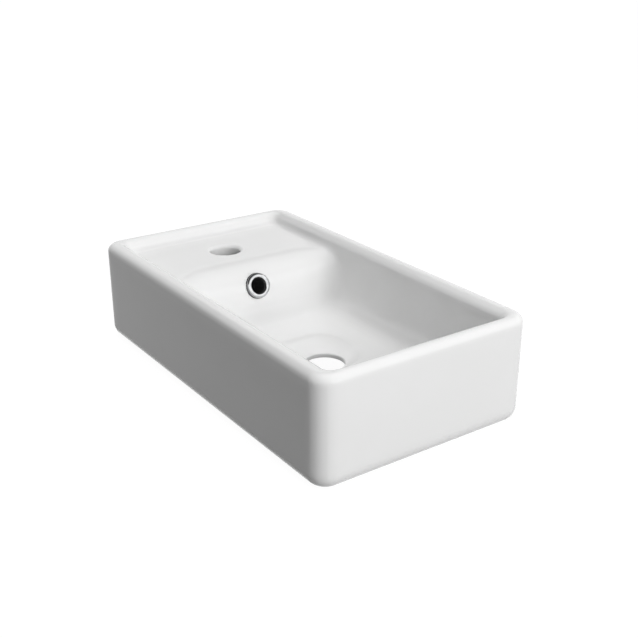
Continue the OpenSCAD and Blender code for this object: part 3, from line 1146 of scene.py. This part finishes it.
@dataclass(frozen=True)
class Plating:
    """Bright nickel-chrome plating on the bezel, with fine wiping marks and painted shade on its outer
    edge.
    """

    bright: Colour = (0.86, 0.87, 0.88)
    dull: Colour = (0.70, 0.71, 0.73)
    # Painted shade: a dark band on the bezel's outer edge stands in for the shade and dark reflections
    # there.
    edge: Colour = (0.38, 0.38, 0.39)
    painted_shade_span: tuple[float, float] = (13.2, 14.2)

    def material(self, sizes: BasinSizes) -> bpy.types.Material:
        """Build the material.

        Args:
            sizes: The body's sizes, which say where the overflow axis is.

        Returns:
            The material.
        """
        surface = Surface("bright plating")
        haze = surface.noise(grain_mm=5.0, detail=3.0)
        x, y, z = surface.places()
        lean = math.radians(sizes.overflow_lean)
        dx, dz = x - sizes.seat_x, z - sizes.seat_z
        off_axis = length(dz * math.cos(lean) - dx * math.sin(lean), y)
        colour = surface.blend(haze.eased(0.4, 0.8), self.bright, self.dull)
        # Painted shade: the plating darkens to the edge colour across the last millimetre of the bezel's
        # radius.
        colour = surface.blend(off_axis.eased(*self.painted_shade_span), colour, self.edge)
        wiped = surface.noise(grain_mm=0.5, detail=2.0, stretch=(1.0, 6.0, 1.0))
        surface.set(Base_Color=colour, Metallic=1.0, Roughness=0.05 + haze * 0.05 + wiped * 0.04)
        surface.bump(wiped, depth_mm=0.004, strength=0.5)
        return surface.material


@dataclass(frozen=True)
class BlackMoulding:
    """Black moulded plastic of the tube, the nut and the elbow, with a fine mould grain."""

    black: Colour = (0.056, 0.056, 0.058)
    worn: Colour = (0.084, 0.084, 0.086)

    def material(self) -> bpy.types.Material:
        """Build the material.

        Returns:
            The material.
        """
        surface = Surface("black moulding")
        cloud = surface.noise(grain_mm=6.0, detail=4.0)
        colour = surface.blend(cloud.eased(0.45, 0.75), self.black, self.worn)
        surface.set(Base_Color=colour, Roughness=0.34 + cloud * 0.16, IOR=1.5)
        surface.bump(surface.noise(grain_mm=0.35, detail=3.0), depth_mm=0.03, strength=0.6)
        return surface.material


@dataclass(frozen=True)
class SealRubber:
    """Matt black rubber of the two seals, slightly dusty."""

    black: Colour = (0.018, 0.018, 0.018)
    dusty: Colour = (0.055, 0.055, 0.053)

    def material(self) -> bpy.types.Material:
        """Build the material.

        Returns:
            The material.
        """
        surface = Surface("seal rubber")
        bloom = surface.noise(grain_mm=3.0, detail=5.0)
        colour = surface.blend(bloom.eased(0.45, 0.8), self.black, self.dusty)
        surface.set(Base_Color=colour, Roughness=0.68 + bloom * 0.2, Sheen_Weight=0.08)
        surface.bump(surface.noise(grain_mm=0.6, detail=4.0), depth_mm=0.04, strength=0.7)
        return surface.material


# Overflow fitting


@dataclass(frozen=True)
class FittingSizes:
    """Sizes of the overflow fitting in millimetres.

    Names ending in _u are stations along its axis, counted from the front seat.
    """

    bezel_r: float = 14.7
    bezel_open_r: float = 9.9
    bezel_edge: float = 2.3
    bezel_open_edge: float = 0.7
    bezel_back_u: float = 1.0
    flange_r: float = 14.05
    flange_u: float = 1.8
    flange_bevel: float = 0.15
    front_u: float = 5.0
    seal_r: float = 15.1
    seal_t: float = 0.8
    seal_bore_r: float = 11.8
    seal_edge: float = 0.25
    tube_r: float = 11.6
    bore_r: float = 9.5
    tail_bevel: float = 0.6
    tube_end_u: float = -23.5
    rear_seat_u: float = HoleSizes.rear_seat_u
    thread_pitch: float = 2.0
    thread_depth: float = 0.55
    thread_lead: float = 0.2
    nut_front_u: float = -10.5
    nut_back_u: float = -17.5
    nut_r: float = 16.0
    nut_bevel: float = 0.5
    nut_root_bevel: float = 0.3
    lug_h: float = 2.0
    lug_w: float = 4.0
    lugs: float = 8.0
    socket_r: float = 13.5
    socket_bore_r: float = 11.7
    socket_front_u: float = -17.7
    socket_floor_u: float = -23.7
    socket_relief: float = 0.5
    shoulder_r: float = 0.8
    shoulder_lift: float = 0.1
    bend_u: float = -24.5
    bend_r: float = 13.0
    bend_lead: float = 1.3
    bore_slope: float = 0.3
    stop_r: float = 12.5
    stop_t: float = 2.5
    stop_bevel: float = 0.5
    spigot_r: float = 9.5
    spigot_bore_r: float = 7.5
    spigot_l: float = 26.0
    spigot_lead: float = 0.05
    tip_bevel: float = 0.9
    tip_slope: float = 1.2
    rib_pitch: float = 4.0
    rib_depth: float = 0.7
    ribs_from_stop: float = 5.0
    ribs_from_tip: float = 2.0
    joint_lap: float = 0.8
    bevel: float = 0.4
    fine_bevel: float = 0.1
    fit_gap: float = 0.1
    row_step: float = 0.25
    bend_step: float = 0.8


class RoundRule:
    """Geometry Nodes that move the points of a turned piece, whose axis is Z, to or from that axis."""

    LEAST_RADIUS = 0.001

    def __init__(self, name: str) -> None:
        """Start the tree, with each point's height, radius and share of a turn.

        Args:
            name: The tree's name.
        """
        self.grow = GeometryTree(name, takes_mesh=True)
        self.x, self.y, self.z = in_millimetres(self.grow.tree, self.grow.here())
        self.radius = length(self.x, self.y).at_least(self.LEAST_RADIUS)
        self.turn = self.y.math("ARCTAN2", self.x) / FULL_TURN

    def lifted(self, lift: Field, material: bpy.types.Material) -> bpy.types.NodeTree:
        """Move each point away from the axis and end the tree.

        Args:
            lift: How far in metres; a negative lift moves inwards.
            material: The piece's material.

        Returns:
            The tree.
        """
        mesh = self.grow.source.outputs["Geometry"]
        x, y = self.x / self.radius * lift, self.y / self.radius * lift
        return self.grow.finish(self.grow.moved(mesh, "Offset", X=x, Y=y), material)


class WaveRule(RoundRule):
    """A rule that cuts a thread or ribs.

    A groove's sides slope over the flank, as shares of half a pitch, and it runs out at both ends over a
    share of a pitch. Only points within the skin, in millimetres, below the outer radius move.
    """

    FLANK = (0.15, 0.85)
    RUN_OUT = 0.6
    SKIN = 0.3

    def __init__(self, name: str, material: bpy.types.Material) -> None:
        """Build the tree.

        Args:
            name: The tree's name.
            material: The piece's material.
        """
        super().__init__(name)
        pitch, depth, start, end, outer, starts = self.grow.numbers(
            "Pitch", "Depth", "Start", "End", "Outer radius", "Thread starts"
        )
        phase = (self.z / pitch + self.turn * starts).math("FRACT")
        groove = ((phase - 0.5).size() * 2.0).eased(*self.FLANK)
        run_out = pitch * self.RUN_OUT
        here = self.z.eased(start, start + run_out) * self.z.eased(end, end - run_out)
        skin = (self.radius - (outer - self.SKIN)).math("GREATER_THAN", 0.0)
        self.tree = self.lifted(-(groove * here * skin * depth * MM), material)


class LugRule(RoundRule):
    """A rule that raises evenly spaced grip lugs.

    The flanks are the slopes of a lug's sides and ends, in millimetres. Only points within the skin
    below the root radius move.
    """

    HALF_FLANK = 0.55
    END_FLANK = 0.7
    SKIN = 0.05

    def __init__(self, material: bpy.types.Material) -> None:
        """Build the tree.

        Args:
            material: The piece's material.
        """
        super().__init__("Grip lugs")
        count, height, width, root, low, high = self.grow.numbers(
            "Lugs", "Lug height", "Lug width", "Root radius", "Low end", "High end"
        )
        off = ((self.turn * count).math("FRACT") - 0.5).size() * FULL_TURN * root / count
        across = off.eased(width * 0.5 + self.HALF_FLANK, width * 0.5 - self.HALF_FLANK)
        along = self.z.eased(low, low + self.END_FLANK) * self.z.eased(high, high - self.END_FLANK)
        skin = (self.radius - (root - self.SKIN)).math("GREATER_THAN", 0.0)
        self.tree = self.lifted(across * along * skin * height * MM, material)


class BendRule:
    """Geometry Nodes that lead a straight pipe along the overflow's path: axis, bend and straight down."""

    def __init__(self, name: str, material: bpy.types.Material) -> None:
        """Build the tree.

        Args:
            name: The tree's name.
            material: The piece's material.
        """
        grow = GeometryTree(name, takes_mesh=True)
        bend_r, start, first, sweep, centre_x, centre_z = grow.numbers(
            "Bend radius", "Bend start", "First angle", "Bend angle", "Centre X", "Centre Z"
        )
        degree = math.pi / 180
        x, y, z = in_millimetres(grow.tree, grow.here())
        run = z - start
        on_arc = run.at_least(0.0).at_most(bend_r * (sweep * degree))
        turn = first * degree + on_arc / bend_r
        beyond = run - on_arc
        cosine, sine = turn.math("COSINE"), turn.math("SINE")
        reach = bend_r + x
        new_x = centre_x + reach * cosine - beyond * sine
        new_z = centre_z + reach * sine + beyond * cosine
        mesh = grow.source.outputs["Geometry"]
        bent = grow.moved(mesh, "Position", X=new_x * MM, Y=y * MM, Z=new_z * MM)
        self.tree = grow.finish(bent, material)


@dataclass
class OverflowFitting:
    """Bezel, seals, tube, backnut and elbow of the overflow."""

    body: BasinSizes
    plating: bpy.types.Material
    moulding: bpy.types.Material
    rubber: bpy.types.Material
    sizes: FittingSizes = FittingSizes()

    def _placed(self, thing: bpy.types.Object) -> bpy.types.Object:
        """Move a piece's mesh from its own axis on to the overflow axis.

        Args:
            thing: The piece.

        Returns:
            The same piece.
        """
        place = overflow_place(self.body)
        place.translation *= MM
        thing.data.transform(place)
        return thing

    def _dress(
        self, thing: bpy.types.Object, material: bpy.types.Material, sharp_angle: float = 35.0
    ) -> bpy.types.Object:
        """Give a piece its material and shading.

        Args:
            thing: The piece.
            material: Its material.
            sharp_angle: Edges sharper than this many degrees stay sharp.

        Returns:
            The same piece.
        """
        thing.data.materials.clear()
        thing.data.materials.append(material)
        smooth_by_angle(thing.data, sharp_angle)
        return thing

    def bezel(self) -> bpy.types.Object:
        """Make the plated cap over the tube's flange.

        Returns:
            The cap.
        """
        s = self.sizes
        skirt, fine = s.flange_r + s.fit_gap, s.fine_bevel
        profile = [(skirt, s.bezel_back_u), (s.bezel_r - fine, s.bezel_back_u)]
        profile += [(s.bezel_r, s.bezel_back_u + fine)]
        profile += arc((s.bezel_r - s.bezel_edge, s.front_u - s.bezel_edge), s.bezel_edge, 0, 90, steps=12)
        lip = (s.bezel_open_r + s.bezel_open_edge, s.front_u - s.bezel_open_edge)
        profile += arc(lip, s.bezel_open_edge, 90, 180, steps=8)
        profile += [(s.bezel_open_r, s.flange_u), (skirt, s.flange_u)]
        mesh = turned("overflow_bezel_plated", profile, Matrix.Identity(4), flats=144)
        return self._dress(self._placed(link_mesh(mesh.name, mesh)), self.plating, sharp_angle=50.0)

    def seal(self, name: str, outer: float, back: float, front: float) -> bpy.types.Object:
        """Make a soft washer.

        Args:
            name: The piece's name.
            outer: Its outer radius.
            back: Station of its back face.
            front: Station of its front face.

        Returns:
            The washer.
        """
        edge = min(self.sizes.seal_edge, (front - back) / 3)
        inner_x, outer_x = self.sizes.seal_bore_r + edge, outer - edge
        low, high = back + edge, front - edge
        corners = ((outer_x, low), (outer_x, high), (inner_x, high), (inner_x, low))
        profile = []
        for k, corner in enumerate(corners):
            profile += arc(corner, edge, 90 * k - 90, 90 * k, steps=4)
        mesh = turned(name, profile, Matrix.Identity(4), flats=128)
        return self._dress(self._placed(link_mesh(name, mesh)), self.rubber)

    def tube(self) -> bpy.types.Object:
        """Make the threaded tube with its flange.

        Returns:
            The tube.
        """
        s = self.sizes
        thread_start = s.tube_end_u + s.tail_bevel
        profile = [(s.bore_r, s.flange_u - s.bevel), (s.bore_r, s.tube_end_u + s.bevel)]
        profile += [(s.bore_r + s.bevel, s.tube_end_u), (s.tube_r - s.tail_bevel, s.tube_end_u)]
        profile += [(s.tube_r, thread_start)]
        profile += rows(s.tube_r, thread_start + s.thread_lead, s.rear_seat_u, s.row_step)
        profile += [(s.tube_r, s.seal_t)]
        profile += [(s.flange_r - s.flange_bevel, s.seal_t), (s.flange_r, s.seal_t + s.flange_bevel)]
        profile += [(s.flange_r, s.flange_u - s.fine_bevel), (s.flange_r - s.fine_bevel, s.flange_u)]
        profile += [(s.bore_r + s.bevel, s.flange_u)]
        thing = link_mesh("overflow_tube_threaded", turned("tube", profile, Matrix.Identity(4), flats=96))
        values = {"Pitch": s.thread_pitch, "Depth": s.thread_depth, "Start": thread_start}
        values |= {"End": s.rear_seat_u, "Outer radius": s.tube_r, "Thread starts": 1.0}
        thing = run_tree(thing, WaveRule("Screw thread", self.moulding).tree, values)
        return self._dress(self._placed(thing), self.moulding)

    def backnut(self) -> bpy.types.Object:
        """Make the backnut with its grip lugs.

        Returns:
            The nut.
        """
        s = self.sizes
        root, bore = s.nut_r - s.lug_h, s.tube_r + s.fit_gap
        low, high = s.nut_back_u + s.nut_bevel, s.nut_front_u - s.nut_bevel
        profile = [(bore, high), (bore, low), (bore + s.nut_bevel, s.nut_back_u)]
        profile += [(root - s.nut_root_bevel, s.nut_back_u), (root, s.nut_back_u + s.nut_root_bevel)]
        profile += rows(root, low, high, s.row_step)
        profile += [(root, s.nut_front_u - s.nut_root_bevel), (root - s.nut_root_bevel, s.nut_front_u)]
        profile += [(bore + s.nut_bevel, s.nut_front_u)]
        thing = link_mesh("overflow_backnut_lugged", turned("nut", profile, Matrix.Identity(4), flats=240))
        values = {"Lugs": s.lugs, "Lug height": s.lug_h, "Lug width": s.lug_w, "Root radius": root}
        thing = run_tree(thing, LugRule(self.moulding).tree, values | {"Low end": low, "High end": high})
        return self._dress(self._placed(thing), self.moulding)

    def elbow(self) -> bpy.types.Object:
        """Make the elbow: socket, bend, hose stop and ribbed spigot.

        The pipe is turned straight, with its stations growing from the socket to the tip, and then bent.

        Returns:
            The elbow.
        """
        s = self.sizes
        lean = math.radians(self.body.overflow_lean)
        first, sweep = 90 + self.body.overflow_lean, 90 - self.body.overflow_lean
        centre_x = self.body.seat_x + s.bend_u * math.cos(lean) + s.bend_r * math.sin(lean)
        centre_z = self.body.seat_z + s.bend_u * math.sin(lean) - s.bend_r * math.cos(lean)
        start, mouth, floor = -s.bend_u, -s.socket_front_u, -s.socket_floor_u
        bent = start + s.bend_r * math.radians(sweep)
        stop = bent - s.joint_lap
        root = stop + s.stop_t
        tip = root + s.spigot_l
        relief_r = s.bore_r + s.socket_relief
        outer = [(s.socket_bore_r + s.bevel, mouth), (s.socket_r - s.bevel, mouth)]
        outer += [(s.socket_r, mouth + s.bevel), (s.socket_r, start + 2 * s.shoulder_lift)]
        shoulder = (s.socket_r - s.shoulder_r, start + s.shoulder_lift)
        outer += arc(shoulder, s.shoulder_r, 0, 90, steps=4)
        outer += rows(s.tube_r, start + s.bend_lead, stop - s.bevel, s.bend_step)
        outer += [(s.stop_r - s.stop_bevel, stop), (s.stop_r, stop + s.stop_bevel)]
        outer += [(s.stop_r, root - s.bevel), (s.stop_r - s.bevel, root)]
        outer += rows(s.spigot_r, root + s.spigot_lead, tip - s.tip_slope, s.row_step)
        outer += [(s.spigot_r - s.tip_bevel, tip)]
        inner = [(s.spigot_bore_r, tip), (s.spigot_bore_r, bent + s.bore_slope)]
        inner += rows(s.bore_r, bent, start, s.bend_step)
        inner += [(relief_r, start - s.bore_slope), (relief_r, floor)]
        inner += [(s.socket_bore_r, floor), (s.socket_bore_r, mouth + s.bevel)]
        pipe = turned("elbow", outer + inner, Matrix.Identity(4), flats=96)
        thing = link_mesh("overflow_elbow_spigot", pipe)
        values = {"Pitch": s.rib_pitch, "Depth": s.rib_depth, "Start": root + s.ribs_from_stop}
        values |= {"End": tip - s.ribs_from_tip, "Outer radius": s.spigot_r, "Thread starts": 0.0}
        thing = run_tree(thing, WaveRule("Hose ribs", self.moulding).tree, values)
        values = {"Bend radius": s.bend_r, "Bend start": start, "First angle": first, "Bend angle": sweep}
        values |= {"Centre X": centre_x, "Centre Z": centre_z}
        thing = run_tree(thing, BendRule("Elbow path", self.moulding).tree, values)
        return self._dress(thing, self.moulding)

    def build(self) -> list[tuple[bpy.types.Object, str, Slot]]:
        """Make every piece.

        Returns:
            Each piece with the CAD node that it replaces and its material slot.
        """
        s = self.sizes
        front = ("overflow_front_washer", s.seal_r, 0.0, s.seal_t)
        rear = ("overflow_rear_washer", s.nut_r, s.nut_front_u, s.rear_seat_u)
        return [
            (self.bezel(), "overflow_bezel", Slot.PLATING),
            (self.seal(*front), "overflow_front_seal", Slot.SEAL),
            (self.tube(), "overflow_tube", Slot.FITTING),
            (self.seal(*rear), "overflow_rear_seal", Slot.SEAL),
            (self.backnut(), "overflow_backnut", Slot.FITTING),
            (self.elbow(), "overflow_elbow", Slot.FITTING),
        ]


# Studio


@dataclass(frozen=True)
class Softbox:
    """A large soft lamp that doesn't show in reflections."""

    name: str
    place: tuple[float, float, float]
    side: float
    watts: float

    def light(self, aim: tuple[float, float, float]) -> None:
        """Hang the lamp, pointed at a place.

        Args:
            aim: Where it points.
        """
        data = bpy.data.lights.new(self.name, "AREA")
        data.shape = "SQUARE"
        data.size = self.side
        data.energy = self.watts
        lamp = bpy.data.objects.new(self.name, data)
        lamp.visible_glossy = False
        turn = (Vector(self.place) - Vector(aim)).to_track_quat("Z", "Y")
        lamp.matrix_world = Matrix.Translation(self.place) @ turn.to_matrix().to_4x4()
        bpy.context.scene.collection.objects.link(lamp)


@dataclass(frozen=True)
class Glow:
    """A wide soft glow of the surroundings from one side."""

    azimuth: float
    elevation: float
    strength: float
    focus: float

    def level(self, tree: bpy.types.NodeTree) -> Field:
        """Work out how strongly the surroundings shine in each direction.

        Args:
            tree: The surroundings' node tree.

        Returns:
            The strength.
        """
        turn, lift = math.radians(self.azimuth), math.radians(self.elevation)
        towards = (math.cos(turn) * math.cos(lift), math.sin(turn) * math.cos(lift), math.sin(lift))
        seen = tree.nodes.new("ShaderNodeTexCoord").outputs["Generated"]
        node = add_node(tree, "ShaderNodeVectorMath", seen, towards)
        node.operation = "DOT_PRODUCT"
        facing = Field(tree, node.outputs["Value"]).at_least(0.0)
        return facing.math("POWER", self.focus) * self.strength


@dataclass(frozen=True)
class Studio:
    """Camera, lights, floor and surroundings, in metres, degrees and watts.

    The lens and the sensor are in millimetres. In reflections the surroundings fade to the ceiling's
    share of white over the ceiling's rise, which is the sine of the height above the horizon.
    """

    eye: tuple[float, float, float] = (0.839140, -0.557019, 0.491494)
    azimuth: float = 55.0475
    elevation: float = 23.0063
    lens: float = 55.977
    sensor: float = 36.0
    nearest: float = 0.02
    aim: tuple[float, float, float] = (0.0, 0.0, 0.06)
    floor_half: float = 9.0
    floor_shade: Colour = (0.08, 0.08, 0.08)
    floor_glow: float = 0.965
    ceiling: float = 0.12
    ceiling_rise: tuple[float, float] = (0.5, 0.58)
    glows: tuple[Glow, ...] = (
        Glow(azimuth=0.0, elevation=30.0, strength=1.55, focus=14.0),
        Glow(azimuth=180.0, elevation=75.0, strength=2.66, focus=8.0),
    )
    lamps: tuple[Softbox, ...] = (
        Softbox("low softbox", place=(2.4, 0.1, 0.75), side=1.4, watts=31.5),
        Softbox("high softbox", place=(2.3, 0.3, 1.8), side=2.3, watts=11.5),
    )

    def camera(self) -> None:
        """Make the camera at the photograph's viewing angle."""
        data = bpy.data.cameras.new("camera")
        data.lens = self.lens
        data.sensor_width = self.sensor
        data.clip_start = self.nearest
        turn, lift = math.radians(self.azimuth), math.radians(self.elevation)
        back = Vector((math.sin(turn) * math.cos(lift), -math.cos(turn) * math.cos(lift), math.sin(lift)))
        right = Vector((math.cos(turn), math.sin(turn), 0.0))
        up = back.cross(right)
        eye = bpy.data.objects.new("camera", data)
        eye.matrix_world = Matrix.Translation(self.eye) @ Matrix((right, up, back)).transposed().to_4x4()
        bpy.context.scene.collection.objects.link(eye)
        bpy.context.scene.camera = eye

    @staticmethod
    def _ray(tree: bpy.types.NodeTree, kind: str) -> Field:
        """Return 1 for rays of a kind and 0 for others."""
        return Field(tree, tree.nodes.new("ShaderNodeLightPath").outputs[f"Is {kind} Ray"])

    def _seen(self, tree: bpy.types.NodeTree) -> Field:
        """Return 1 for rays that show the background: from the camera, a gloss or a glass."""
        seen = self._ray(tree, "Camera").at_least(self._ray(tree, "Glossy"))
        return seen.at_least(self._ray(tree, "Transmission"))

    def world(self) -> None:
        """Make the surroundings: white to look at, dim overhead in reflections, soft glows as light."""
        world = bpy.data.worlds.new("studio")
        world.use_nodes = True
        tree = world.node_tree
        tree.nodes.clear()
        level = self.glows[0].level(tree)
        for glow in self.glows[1:]:
            level = level + glow.level(tree)
        dim = add_node(tree, "ShaderNodeBackground", WHITE, level)
        towards = tree.nodes.new("ShaderNodeTexCoord").outputs["Generated"]
        split = add_node(tree, "ShaderNodeSeparateXYZ", towards)
        overhead = Field(tree, split.outputs["Z"]).eased(*self.ceiling_rise)
        strength = 1.0 - overhead * self._ray(tree, "Glossy") * (1.0 - self.ceiling)
        white = add_node(tree, "ShaderNodeBackground", WHITE, strength)
        either = add_node(tree, "ShaderNodeMixShader", self._seen(tree), dim.outputs[0], white.outputs[0])
        add_node(tree, "ShaderNodeOutputWorld", either.outputs[0])
        bpy.context.scene.world = world

    def floor(self) -> None:
        """Make the plain pale floor, open when seen from below."""
        shape = bmesh.new()
        bmesh.ops.create_grid(shape, x_segments=2, y_segments=2, size=self.floor_half)
        mesh = bpy.data.meshes.new("floor")
        shape.to_mesh(mesh)
        shape.free()
        material = bpy.data.materials.new("pale floor")
        material.use_nodes = True
        tree = material.node_tree
        tree.nodes.clear()
        shade = add_node(tree, "ShaderNodeBsdfDiffuse", (*self.floor_shade, 1.0))
        glow = add_node(tree, "ShaderNodeEmission", WHITE, self._seen(tree) * self.floor_glow)
        both = add_node(tree, "ShaderNodeAddShader", shade.outputs[0], glow.outputs[0])
        clear = tree.nodes.new("ShaderNodeBsdfTransparent")
        below = tree.nodes.new("ShaderNodeNewGeometry").outputs["Backfacing"]
        sides = add_node(tree, "ShaderNodeMixShader", below, both.outputs[0], clear.outputs[0])
        add_node(tree, "ShaderNodeOutputMaterial", sides.outputs[0])
        mesh.materials.append(material)
        link_mesh("floor", mesh)

    def build(self) -> None:
        """Set up the whole studio."""
        self.camera()
        self.world()
        self.floor()
        for lamp in self.lamps:
            lamp.light(self.aim)
        bpy.context.scene.view_settings.view_transform = "Standard"


def main() -> None:
    """Build the studio, the body and its fitting, and report each piece."""
    logging.basicConfig(level=logging.INFO, format="%(message)s")
    Studio().build()
    sizes, holes = BasinSizes(), HoleSizes()
    body = GlazedBody(sizes, holes).build(Glaze().material(sizes, holes))
    fitting = OverflowFitting(
        sizes,
        plating=Plating().material(sizes),
        moulding=BlackMoulding().material(),
        rubber=SealRubber().material(),
    )
    pieces = [(body, "basin_body", Slot.GLAZE), *fitting.build()]
    for piece, node, slot in pieces:
        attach(piece, Body.ROOT.value)
        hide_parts(node)
        LOG.info("%s: %d faces", piece.name, len(piece.data.polygons))
    bpy.context.view_layer.update()


if __name__ == "__main__":
    main()
